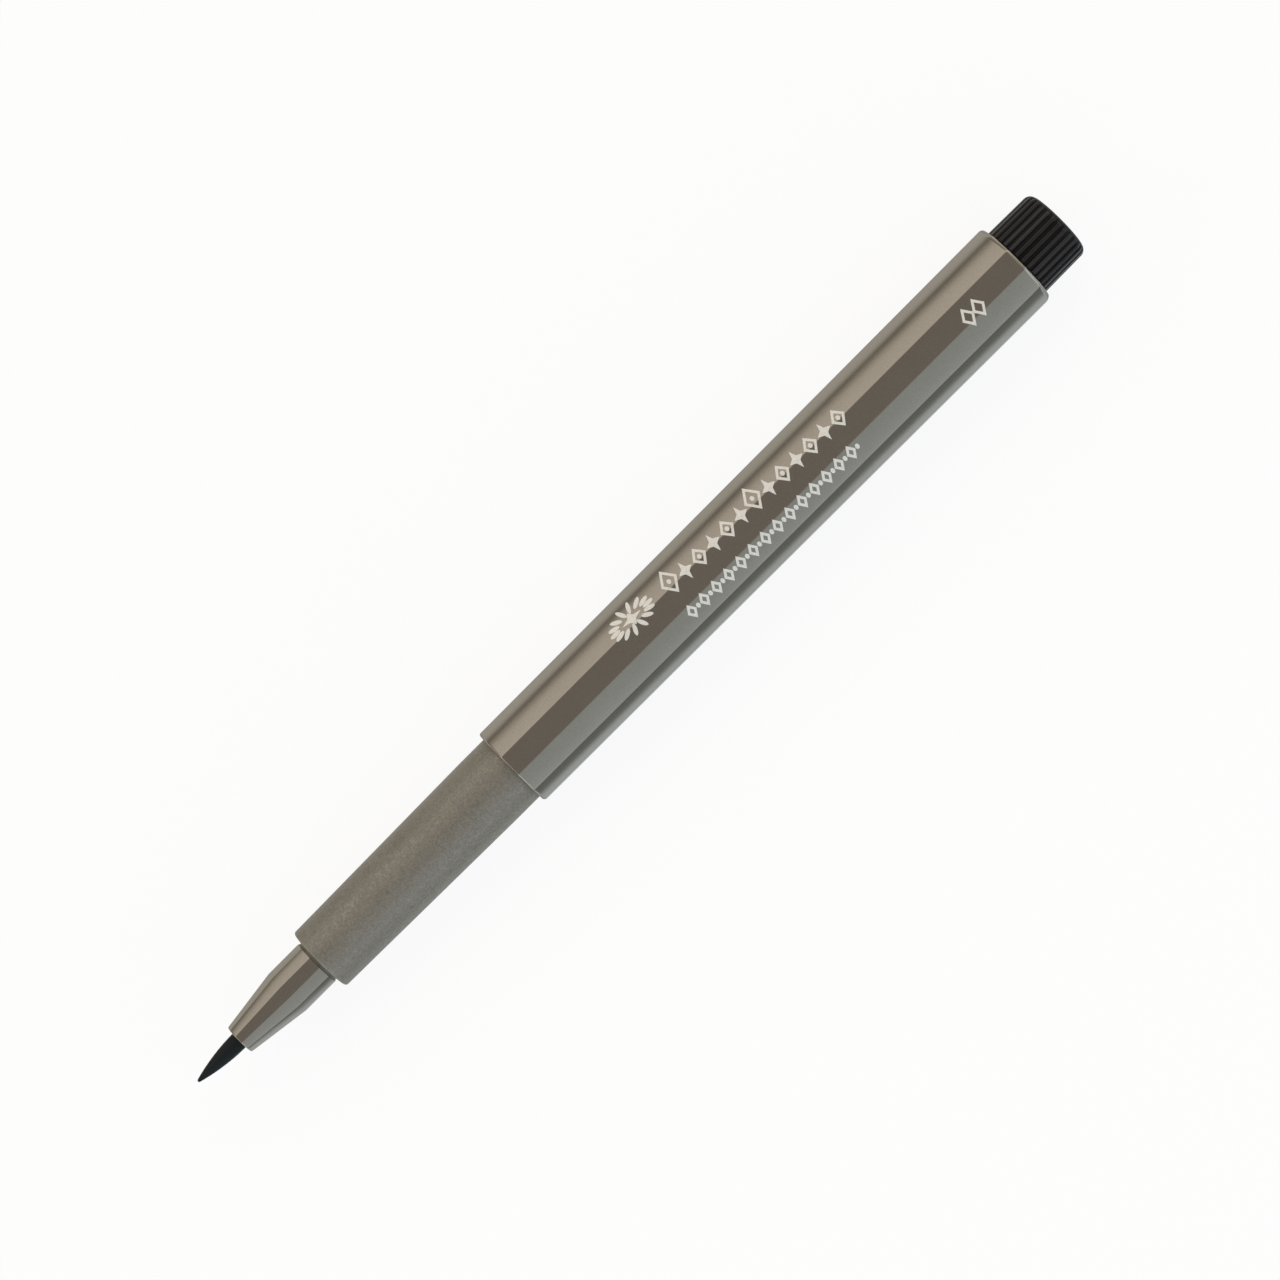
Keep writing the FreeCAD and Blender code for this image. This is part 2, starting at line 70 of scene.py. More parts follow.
class Axis:
    """The pen's axis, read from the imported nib."""

    def __init__(self) -> None:
        """Measure the axis height from the nib's box."""
        low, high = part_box("brush_nib")
        self.height = (low.z + high.z) / 2

    def point(self, station: float, radius: float = 0.0, angle: float = 0.0) -> Vector:
        """A point beside the axis.

        Args:
            station: place along X.
            radius: distance from the axis.
            angle: turn about X, zero straight up and positive towards -Y.

        Returns:
            The point in the row frame.
        """
        across = -radius * math.sin(angle)
        return Vector((station, across, self.height + radius * math.cos(angle)))

    def angle_of(self, point: Vector) -> float:
        """The turn of a point about the axis, from 0 to a full turn."""
        return math.atan2(-point.y, point.z - self.height) % TURN

    def radius_of(self, point: Vector) -> float:
        """The distance of a point from the axis."""
        return math.hypot(point.y, point.z - self.height)

    def spread(self, a: Vector, b: Vector) -> float:
        """The angle between two points about the axis."""
        turn = abs(self.angle_of(a) - self.angle_of(b))
        return min(turn, TURN - turn)


AXIS = Axis()


# ------------------------------------------------------------ the modelling


class Pick(Enum):
    """What a selection in edit mode is made of."""

    VERTS = (True, False, False)
    EDGES = (False, True, False)
    FACES = (False, False, True)


def deselect_all() -> None:
    """Leave edit mode and select nothing."""
    if bpy.context.object and bpy.context.object.mode != "OBJECT":
        bpy.ops.object.mode_set(mode="OBJECT")
    bpy.ops.object.select_all(action="DESELECT")


def make_active(piece: bpy.types.Object) -> None:
    """Select one piece and nothing else."""
    deselect_all()
    piece.select_set(True)
    bpy.context.view_layer.objects.active = piece


def select_parts(piece: bpy.types.Object, kind: Pick, chosen: Sequence) -> None:
    """Select some parts of the active mesh, nothing else, and enter edit mode.

    Args:
        piece: the mesh object, active and in object mode.
        kind: verts, edges or faces.
        chosen: the parts, all of that kind.
    """
    mesh = piece.data
    for part in (*mesh.vertices, *mesh.edges, *mesh.polygons):
        part.select = False
    for part in chosen:
        part.select = True
    bpy.context.tool_settings.mesh_select_mode = kind.value
    bpy.ops.object.mode_set(mode="EDIT")


def pick(piece: bpy.types.Object, kind: Pick, test: Callable[..., bool]) -> int:
    """Select parts of a mesh by a test and enter edit mode.

    Args:
        piece: the mesh object.
        kind: verts, edges or faces.
        test: called with the corner points of each part.

    Returns:
        How many parts were selected.
    """
    make_active(piece)
    mesh = piece.data
    points = [vertex.co for vertex in mesh.vertices]
    if kind is Pick.VERTS:
        chosen = [vertex for vertex in mesh.vertices if test(vertex.co)]
    else:
        parts = mesh.edges if kind is Pick.EDGES else mesh.polygons
        chosen = [part for part in parts if test(*(points[i] for i in part.vertices))]
    select_parts(piece, kind, chosen)
    return len(chosen)


def resize_across(factor: float, station: float = 0.0) -> None:
    """Scale the edit-mode selection towards the axis, keeping its station."""
    bpy.ops.transform.resize(value=(1, factor, factor), center_override=AXIS.point(station))


def chain(name: str, points: Sequence[Vector], closed: bool) -> bpy.types.Object:
    """Draw a chain of edges by extruding one vertex from point to point.

    The first vertex is a tiny plane whose corners are merged.

    Args:
        name: the new object's name.
        points: the corners, in order.
        closed: whether the last corner joins the first.

    Returns:
        The new object, in edit mode and all selected.
    """
    deselect_all()
    bpy.ops.mesh.primitive_plane_add(size=SEED, location=points[0])
    piece = bpy.context.object
    piece.name = name
    piece.data.name = name
    bpy.ops.object.transform_apply(location=True)
    bpy.context.tool_settings.mesh_select_mode = Pick.VERTS.value
    bpy.ops.object.mode_set(mode="EDIT")
    bpy.ops.mesh.select_all(action="SELECT")
    bpy.ops.mesh.merge(type="CENTER")
    stops = [*points[1:], points[0]] if closed else points[1:]
    here = points[0]
    for stop in stops:
        bpy.ops.mesh.extrude_region_move(TRANSFORM_OT_translate={"value": stop - here})
        here = stop
    bpy.ops.mesh.select_all(action="SELECT")
    return piece


def turned(name: str, outline: Outline, steps: int, phase: float = 0.0,
           closed: bool = False) -> bpy.types.Object:
    """Spin an outline about the axis.

    Args:
        name: the new object's name.
        outline: (station, radius) corners.
        steps: how many strips go round.
        phase: the turn at which the outline is drawn.
        closed: whether the outline is a ring, as on a tube.

    Returns:
        The turned object, in object mode.
    """
    points = [AXIS.point(x, r, phase) for x, r in outline]
    piece = chain(name, points, closed)
    bpy.ops.mesh.spin(steps=steps, angle=TURN, center=AXIS.point(0.0), axis=(1, 0, 0))
    bpy.ops.mesh.select_all(action="SELECT")
    bpy.ops.mesh.remove_doubles(threshold=MERGE)
    bpy.ops.mesh.normals_make_consistent(inside=False)
    bpy.ops.object.mode_set(mode="OBJECT")
    return piece


def arc(centre: tuple[float, float], radius: float, start: float, end: float,
        count: int) -> Outline:
    """Points of an arc in an outline, both ends included.

    Args:
        centre: (station, radius) of the arc's centre.
        radius: the arc's own radius.
        start: first direction in degrees, zero along +X.
        end: last direction in degrees.
        count: how many strips.

    Returns:
        The arc's points.
    """
    points = []
    for step in range(count + 1):
        turn = math.radians(start + (end - start) * step / count)
        points.append((centre[0] + radius * math.cos(turn), centre[1] + radius * math.sin(turn)))
    return points


def joined(name: str, pieces: Sequence[bpy.types.Object]) -> bpy.types.Object:
    """Join pieces into the first one.

    Args:
        name: the joined object's new name.
        pieces: the mesh objects.

    Returns:
        The joined object.
    """
    make_active(pieces[0])
    for piece in pieces[1:]:
        piece.select_set(True)
    bpy.ops.object.join()
    pieces[0].name = name
    pieces[0].data.name = name
    return pieces[0]


def bridge_at(piece: bpy.types.Object, station: float) -> None:
    """Bridge the two open loops that lie across the axis.

    Args:
        piece: the shell.
        station: where both loops lie.
    """
    make_active(piece)
    mesh = piece.data
    uses = Counter(key for face in mesh.polygons for key in face.edge_keys)
    rims = [edge for edge in mesh.edges if uses[edge.key] == 1 and all(
        abs(mesh.vertices[end].co.x - station) < MERGE for end in edge.key)]
    select_parts(piece, Pick.EDGES, rims)
    bpy.ops.mesh.bridge_edge_loops()
    bpy.ops.object.mode_set(mode="OBJECT")


def grow_ribs(piece: bpy.types.Object, count: int, half_width: float, wall: float,
              reach: float, start: float, end: float) -> None:
    """Pull ribs inwards out of a round wall.

    Args:
        piece: the shell.
        count: how many ribs, evenly spaced from the top.
        half_width: half the width of a rib, as a turn about the axis.
        wall: radius of the wall.
        reach: radius of the ribs' crests.
        start: station where the ribs begin.
        end: station where they end.
    """
    every = TURN / count

    def in_rib(*corners: Vector) -> bool:
        """Whether a face of the wall belongs to a rib.

        Args:
            corners: the face's corners.

        Returns:
            True if the face lies on the wall and within a rib.
        """
        centre = sum(corners, Vector()) / len(corners)
        turn = (AXIS.angle_of(centre) + every / 2) % every - every / 2
        on_wall = all(abs(AXIS.radius_of(c) - wall) < 5 * MERGE for c in corners)
        return on_wall and start < centre.x < end and abs(turn) < half_width

    pick(piece, Pick.FACES, in_rib)
    bpy.ops.mesh.extrude_region_move()
    resize_across(reach / wall)
    bpy.ops.object.mode_set(mode="OBJECT")


def finish_mesh(piece: bpy.types.Object, sharp_degrees: float = 35.0) -> None:
    """Point the faces outwards, shade by angle and weight the normals.

    Args:
        piece: the mesh object.
        sharp_degrees: edges that turn further than this stay sharp.
    """
    make_active(piece)
    bpy.ops.object.mode_set(mode="EDIT")
    bpy.ops.mesh.select_all(action="SELECT")
    bpy.ops.mesh.normals_make_consistent(inside=False)
    bpy.ops.object.mode_set(mode="OBJECT")
    bpy.ops.object.shade_smooth_by_angle(angle=math.radians(sharp_degrees))
    weighted = piece.modifiers.new("weighted", "WEIGHTED_NORMAL")
    weighted.keep_sharp = True
    bpy.ops.object.modifier_apply(modifier=weighted.name)


def faceted_shell(name: str, outline: Outline, strips: int, crown: float,
                  edge_round: float) -> bpy.types.Object:
    """A twelve-sided shell with slightly crowned flats and rounded edges.

    Args:
        name: the new object's name.
        outline: (station, distance to flat) corners.
        strips: how many strips each flat is divided into.
        crown: rise of a flat's middle over its edges, as a share of its distance.
        edge_round: width of the rounding between two flats.

    Returns:
        The open shell.
    """
    corner = (1 - crown) / math.cos(HALF_FACET)
    raised = [(x, flat * corner) for x, flat in outline]
    shell = turned(name, raised, FACETS * strips, phase=HALF_FACET)
    strip = TURN / (FACETS * strips)
    for step in range(1, strips):
        lean = step * strip - HALF_FACET
        rise = crown * (1 - (math.tan(lean) / math.tan(HALF_FACET)) ** 2)
        polar = (1 - crown) / math.cos(lean) + rise

        def on_meridian(point: Vector) -> bool:
            """Whether a vertex lies on this strip's edge of any flat."""
            sector = (AXIS.angle_of(point) - HALF_FACET) % (2 * HALF_FACET)
            return abs(sector - step * strip) < strip / 4

        pick(shell, Pick.VERTS, on_meridian)
        resize_across(polar / corner)
    bpy.ops.object.mode_set(mode="OBJECT")

    def on_corner(a: Vector, b: Vector) -> bool:
        """Whether an edge runs along the pen between two flats."""
        sector = (AXIS.angle_of(a) - HALF_FACET + strip / 4) % (2 * HALF_FACET)
        lengthwise = abs(a.x - b.x) > MERGE and AXIS.spread(a, b) < strip / 4
        return lengthwise and sector < strip / 2

    pick(shell, Pick.EDGES, on_corner)
    bpy.ops.mesh.bevel(offset=edge_round, segments=3, affect="EDGES", clamp_overlap=False)
    bpy.ops.object.mode_set(mode="OBJECT")
    return shell


# -------------------------------------------------------------- the shaders


class Ease(Enum):
    """How a value moves from one end of a range to the other."""

    EVEN = "LINEAR"
    SMOOTH = "SMOOTHSTEP"


class Wire:
    """A node's output that Python arithmetic can combine."""

    def __init__(self, graph: "Graph", socket: bpy.types.NodeSocket) -> None:
        """Keep the socket and the graph that it belongs to."""
        self.graph = graph
        self.socket = socket

    def _maths(self, operation: str, *values: "Wire | float") -> "Wire":
        """Add one Math node."""
        return self.graph.wire("ShaderNodeMath", {"operation": operation}, dict(enumerate(values)))

    def __add__(self, other: "Wire | float") -> "Wire":
        """This plus the other."""
        return self._maths("ADD", self, other)

    def __radd__(self, other: "Wire | float") -> "Wire":
        """The other plus this."""
        return self._maths("ADD", other, self)

    def __sub__(self, other: "Wire | float") -> "Wire":
        """This minus the other."""
        return self._maths("SUBTRACT", self, other)

    def __rsub__(self, other: "Wire | float") -> "Wire":
        """The other minus this."""
        return self._maths("SUBTRACT", other, self)

    def __mul__(self, other: "Wire | float") -> "Wire":
        """This times the other."""
        return self._maths("MULTIPLY", self, other)

    def __rmul__(self, other: "Wire | float") -> "Wire":
        """The other times this."""
        return self._maths("MULTIPLY", other, self)

    def __abs__(self) -> "Wire":
        """This without its sign."""
        return self._maths("ABSOLUTE", self)

    def above(self, level: float) -> "Wire":
        """One where this is greater than a level, else nothing."""
        return self._maths("GREATER_THAN", self, level)

    def angle_from(self, other: "Wire") -> "Wire":
        """The angle whose sine and cosine go as this and the other."""
        return self._maths("ARCTAN2", self, other)

    def span(self, low: float, high: float, start: float, end: float,
             ease: Ease = Ease.SMOOTH) -> "Wire":
        """Map a range of this onto another range, and keep it inside.

        Args:
            low: value that becomes start.
            high: value that becomes end.
            start: first end of the new range.
            end: other end of the new range.
            ease: how it moves between them.

        Returns:
            The new value.
        """
        return self.graph.wire("ShaderNodeMapRange", {"interpolation_type": ease.value},
                               {0: self, 1: low, 2: high, 3: start, 4: end})


class Graph:
    """The nodes of a material or of the world, under construction."""

    def __init__(self, tree: bpy.types.NodeTree) -> None:
        """Keep the tree's nodes and links."""
        self.nodes = tree.nodes
        self.links = tree.links

    def connect(self, socket: bpy.types.NodeSocket, value: "Wire | float | tuple") -> None:
        """Link a wire to a socket, or set the socket's value.

        Args:
            socket: an input of one of the nodes.
            value: what it gets.
        """
        if isinstance(value, Wire):
            self.links.new(value.socket, socket)
        else:
            socket.default_value = value

    def node(self, kind: str, settings: dict, inputs: dict) -> bpy.types.Node:
        """Add a node.

        Args:
            kind: the node's type name.
            settings: properties, set first; stops are a ramp's (place, colour) pairs.
            inputs: socket values or wires, by name or number.

        Returns:
            The node.
        """
        node = self.nodes.new(kind)
        for key, value in settings.items():
            if key == "stops":
                lay_stops(node.color_ramp.elements, value)
            else:
                setattr(node, key, value)
        for key, value in inputs.items():
            self.connect(node.inputs[key], value)
        return node

    def wire(self, kind: str, settings: dict, inputs: dict, output: int | str = 0) -> Wire:
        """Add a node and take one of its outputs."""
        return Wire(self, self.node(kind, settings, inputs).outputs[output])


def lay_stops(elements: bpy.types.ColorRampElements,
              stops: Sequence[tuple[float, tuple]]) -> None:
    """Give a new ramp its stops.

    Args:
        elements: the ramp's own stops, fewer than the new ones.
        stops: a place from 0 to 1 and a colour for each, in rising order.
    """
    for index, (place, colour) in enumerate(stops):
        stop = elements[index] if index < len(elements) else elements.new(place)
        stop.position = place
        stop.color = colour


def shaded(colour: Colour, factor: float) -> Colour:
    """A colour made lighter or darker."""
    return tuple(min(1.0, part * factor) for part in colour)


class Recipe(Graph):
    """One material under construction."""

    COLOUR_A = 6
    COLOUR_B = 7
    COLOUR_RESULT = 2

    def __init__(self, name: str) -> None:
        """Start a node material with its shader and output.

        Args:
            name: the material's name.
        """
        self.material = bpy.data.materials.new(name)
        self.material.use_nodes = True
        super().__init__(self.material.node_tree)
        self.shader = self.nodes["Principled BSDF"]
        self.place = self.wire("ShaderNodeTexCoord", {}, {}, "Object")

    def stretched(self, scale: tuple[float, float, float]) -> Wire:
        """Object coordinates scaled on each axis."""
        return self.wire("ShaderNodeMapping", {}, {"Vector": self.place, "Scale": scale})

    def reach(self) -> Wire:
        """Distance from the pen's axis."""
        across = self.wire("ShaderNodeMapping", {}, {
            "Vector": self.place, "Scale": (0.0, 1.0, 1.0), "Location": (0.0, 0.0, -AXIS.height)})
        return self.wire("ShaderNodeVectorMath", {"operation": "LENGTH"}, {0: across}, "Value")

    def station(self) -> Wire:
        """Place along the pen."""
        return self.wire("ShaderNodeSeparateXYZ", {}, {0: self.place}, "X")

    def noise(self, scale: float, detail: float = 2.0, where: Wire | None = None) -> Wire:
        """A noise from 0 to 1."""
        return self.wire("ShaderNodeTexNoise", {}, {
            "Vector": where or self.place, "Scale": scale, "Detail": detail})

    def cells(self, size: float) -> Wire:
        """One random number a cell, for flakes."""
        colour = self.wire("ShaderNodeTexVoronoi", {"feature": "F1"}, {
            "Vector": self.place, "Scale": 1 / size}, "Color")
        return self.wire("ShaderNodeSeparateColor", {}, {0: colour})

    def mix(self, amount: Wire, low: Wire | Colour, high: Wire | Colour) -> Wire:
        """Blend two colours.

        Args:
            amount: how far from the first to the second.
            low: the first colour.
            high: the second colour.

        Returns:
            The blend.
        """
        ends = [end if isinstance(end, Wire) else (*end, 1.0) for end in (low, high)]
        return self.wire("ShaderNodeMix", {"data_type": "RGBA"}, {
            0: amount, self.COLOUR_A: ends[0], self.COLOUR_B: ends[1]}, self.COLOUR_RESULT)

    def toned(self, tone: Wire, colour: Colour, low: float, high: float) -> Wire:
        """A colour that goes from one brightness to another as a tone rises."""
        return self.mix(tone, shaded(colour, low), shaded(colour, high))

    def bump(self, height: Wire, strength: float, distance: float) -> None:
        """Raise the surface by a height."""
        self.feed(Normal=self.wire("ShaderNodeBump", {}, {
            "Height": height, "Strength": strength, "Distance": distance}))

    def feed(self, **values: Wire | float | tuple) -> None:
        """Set or link sockets of the shader, with _ for a space in a name."""
        for key, value in values.items():
            self.connect(self.shader.inputs[key.replace("_", " ")], value)


@dataclass(frozen=True)
class MetallicLacquer:
    """Satin metallic lacquer with fine flake, on the barrel and the nose.

    Behind a given station, which is past the pen unless it is given, the colour is
    painted darker, duller and less metallic: painted shade in the narrow neck before the grip.
    """

    name: str = "metallic_lacquer"
    colour: Colour = (0.312, 0.284, 0.241)
    roughness: float = 0.085
    # painted shade: the darker, duller colour given to the nose's neck before the grip
    painted_neck_shade: Colour = (0.175, 0.160, 0.132)
    painted_shade_from: float = 1.0
    flake_size: float = 0.09 * MM
    slot: str = "metallic"

    def make(self) -> bpy.types.Material:
        """Build the material.

        Returns:
            The material.
        """
        recipe = Recipe(self.name)
        cloud = recipe.noise(260.0, 3.0)
        tone = 0.62 * recipe.cells(self.flake_size) + 0.38 * cloud
        # painted shade: behind this station the lacquer is darkened, dulled and made less metallic
        # to stand for the shadow in the neck before the grip
        painted_neck_shade = recipe.station().above(self.painted_shade_from)
        flaked_lacquer = recipe.toned(tone, self.colour, 0.90, 1.10)
        recipe.feed(
            Base_Color=recipe.mix(painted_neck_shade, flaked_lacquer, self.painted_neck_shade),
            Metallic=1.0 - 0.7 * painted_neck_shade,
            Roughness=self.roughness + 0.04 * cloud + 0.4 * painted_neck_shade,
            Coat_Weight=0.15,
            Coat_Roughness=0.06,
        )
        recipe.bump(recipe.noise(2600.0), 0.05, 0.01 * MM)
        return recipe.material


@dataclass(frozen=True)
class FlakeMatte:
    """Matte moulded plastic filled with fine flake, on the grip."""

    name: str = "flake_matte"
    colour: Colour = (0.260, 0.244, 0.207)
    flake_size: float = 0.17 * MM
    spark_level: float = 0.93
    slot: str = "grip"

    def make(self) -> bpy.types.Material:
        """Build the material.

        Returns:
            The material.
        """
        recipe = Recipe(self.name)
        flake = recipe.cells(self.flake_size)
        spark = flake.above(self.spark_level)
        grain = recipe.noise(4200.0)
        drift = recipe.noise(220.0, 3.0, recipe.stretched((0.4, 1.0, 1.0)))
        tone = 0.40 * flake + 0.30 * grain + 0.30 * drift
        recipe.feed(
            Base_Color=recipe.toned(tone, self.colour, 0.66, 1.34),
            Metallic=0.46 + 0.4 * spark,
            Roughness=0.50 - 0.2 * spark,
            Specular_IOR_Level=0.4,
        )
        recipe.bump(grain, 0.22, 0.02 * MM)
        return recipe.material


@dataclass(frozen=True)
class RibbedBlack:
    """Black moulded plastic, dull in its grooves and glossy on its crests."""

    name: str = "plug_black"
    colour: Colour = (0.0082, 0.0070, 0.0070)
    groove: float = 4.40 * MM
    crest: float = 4.56 * MM
    slot: str = "plug"

    def make(self) -> bpy.types.Material:
        """Build the material.

        Returns:
            The material.
        """
        recipe = Recipe(self.name)
        grain = recipe.noise(3800.0, 3.0)
        wear = recipe.noise(420.0, 4.0)
        recipe.feed(
            Base_Color=recipe.toned(wear, self.colour, 0.8, 1.5),
            Roughness=0.34 + 0.14 * grain,
            Specular_IOR_Level=0.16,
            Coat_Weight=recipe.reach().span(self.groove, self.crest, 0.0, 0.9),
            Coat_Roughness=0.16,
            Coat_IOR=1.38,
        )
        recipe.bump(grain, 0.18, 0.015 * MM)
        return recipe.material


@dataclass(frozen=True)
class InkedFibre:
    """Bonded fibre soaked with black ink, on the nib and the ink store."""

    name: str
    colour: Colour
    slot: str
    fibre_size: float = 0.055 * MM
    gloss: float = 0.42

    def make(self) -> bpy.types.Material:
        """Build the material.

        Returns:
            The material.
        """
        recipe = Recipe(self.name)
        lengthwise = recipe.stretched((0.045, 1.0, 1.0))
        strand = recipe.noise(1 / self.fibre_size, where=lengthwise)
        ink = recipe.noise(900.0, 4.0)
        tone = 0.7 * strand + 0.3 * ink
        recipe.feed(
            Base_Color=recipe.toned(tone, self.colour, 0.45, 1.9),
            Roughness=self.gloss + 0.25 * strand,
            Specular_IOR_Level=0.22,
        )
        recipe.bump(strand, 0.45, 0.03 * MM)
        return recipe.material


@dataclass(frozen=True)
class MouldedNatural:
    """Undyed moulded plastic, on the nib's liner."""

    name: str = "natural_moulding"
    colour: Colour = (0.60, 0.60, 0.57)
    slot: str = "liner"

    def make(self) -> bpy.types.Material:
        """Build the material.

        Returns:
            The material.
        """
        recipe = Recipe(self.name)
        cloud = recipe.noise(700.0, 3.0)
        recipe.feed(
            Base_Color=recipe.toned(cloud, self.colour, 0.9, 1.08),
            Roughness=0.4 + 0.12 * cloud,
        )
        recipe.bump(recipe.noise(3000.0), 0.08, 0.01 * MM)
        return recipe.material


@dataclass(frozen=True)
class ClearFilm:
    """Milky film wrapped round the ink store."""

    name: str = "wrap_film"
    colour: Colour = (0.62, 0.65, 0.66)
    slot: str = "film"

    def make(self) -> bpy.types.Material:
        """Build the material.

        Returns:
            The material.
        """
        recipe = Recipe(self.name)
        crease = recipe.noise(500.0, 3.0, recipe.stretched((0.15, 1.0, 1.0)))
        recipe.feed(
            Base_Color=recipe.toned(crease, self.colour, 0.85, 1.1),
            Roughness=0.16 + 0.14 * crease,
            Alpha=0.42 + 0.2 * crease,
        )
        recipe.bump(crease, 0.2, 0.03 * MM)
        return recipe.material


@dataclass(frozen=True)
class WhiteInk:
    """Thin off-white printing ink on the barrel."""

    name: str = "print_ink"
    colour: Colour = (0.86, 0.85, 0.79)

    def make(self) -> bpy.types.Material:
        """Build the material.

        Returns:
            The material.
        """
        recipe = Recipe(self.name)
        cover = recipe.noise(4200.0, 3.0)
        recipe.feed(
            Base_Color=recipe.toned(cover, self.colour, 0.90, 1.08),
            Roughness=0.5 + 0.1 * cover,
            Specular_IOR_Level=0.4,
        )
        return recipe.material


def dress(piece: bpy.types.Object, material: bpy.types.Material) -> None:
    """Give a piece one material."""
    piece.data.materials.clear()
    piece.data.materials.append(material)


# ----------------------------------------------------------- the sub-assemblies


@dataclass
class Barrel:
    """Twelve-sided barrel with a rounded lip, a bore and inner ribs."""

    finish: MetallicLacquer
    front_flat: float = 5.235 * MM
    rear_flat: float = 5.471 * MM
    front_round: float = 0.30 * MM
    rear_round: float = 0.60 * MM
    edge_round: float = 0.08 * MM
    crown: float = 0.005
    mouth: float = 4.65 * MM
    mouth_depth: float = 2.0 * MM
    bore: float = 4.15 * MM
    lead: float = 0.12 * MM
    ribs: int = 6
    rib_strips: int = 3
    rib_reach: float = 3.12 * MM
    rib_gap: float = 2.0 * MM
    bore_steps: int = 96
    strips: int = 6
    front_steps: int = 6
    rear_steps: int = 8

    def __post_init__(self) -> None:
        """Read the barrel's stations from the frame."""
        low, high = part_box("barrel")
        self.front = low.x
        self.rear = high.x

    def outside(self) -> bpy.types.Object:
        """The drafted outer shell with both rims rounded.

        Returns:
            The shell, open at both ends.
        """
        near, far = self.front_round, self.rear_round
        lip = arc((self.front + near, self.front_flat - near), near, 180, 90,
                  self.front_steps)
        heel = arc((self.rear - far, self.rear_flat - far), far, 90, 0,
                   self.rear_steps)
        return faceted_shell("barrel_outside", lip + heel, self.strips, self.crown,
                             self.edge_round)

    def inside(self) -> bpy.types.Object:
        """The mouth and the bore, with ribs that hold the ink store.

        Returns:
            The shell, open at both ends.
        """
        section_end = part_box("grip_section")[1].x
        plug_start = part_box("end_plug")[0].x
        rib_start = section_end + self.rib_gap
        rib_end = plug_start - self.rib_gap
        floor = self.front + self.mouth_depth
        shell = turned("barrel_inside", [
            (self.front, self.mouth + self.lead),
            (self.front + self.lead, self.mouth),
            (floor, self.mouth),
            (floor, self.bore),
            (rib_start, self.bore),
            (rib_end, self.bore),
            (self.rear - self.lead, self.bore),
            (self.rear, self.bore + self.lead),
        ], self.bore_steps)
        half_rib = self.rib_strips / 2 * TURN / self.bore_steps
        grow_ribs(shell, self.ribs, half_rib, self.bore, self.rib_reach, rib_start, rib_end)
        return shell

    def build(self) -> bpy.types.Object:
        """Join both shells, close the two ends and dress the barrel.

        Returns:
            The barrel.
        """
        piece = joined("barrel_tube", [self.outside(), self.inside()])
        bridge_at(piece, self.front)
        bridge_at(piece, self.rear)
        finish_mesh(piece)
        dress(piece, self.finish.make())
        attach(piece, "barrel")
        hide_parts("barrel")
        return piece


class Motif(Enum):
    """The shapes that the printed ornament repeats, by their corners."""

    LOZENGE = 4
    STAR = 8
    DOT = 12


@dataclass(frozen=True)
class Stamp:
    """One printed motif: where it is, seen from above, and how large."""

    motif: Motif
    station: float
    across: float
    width: float
    height: float
    turn: float = 0.0


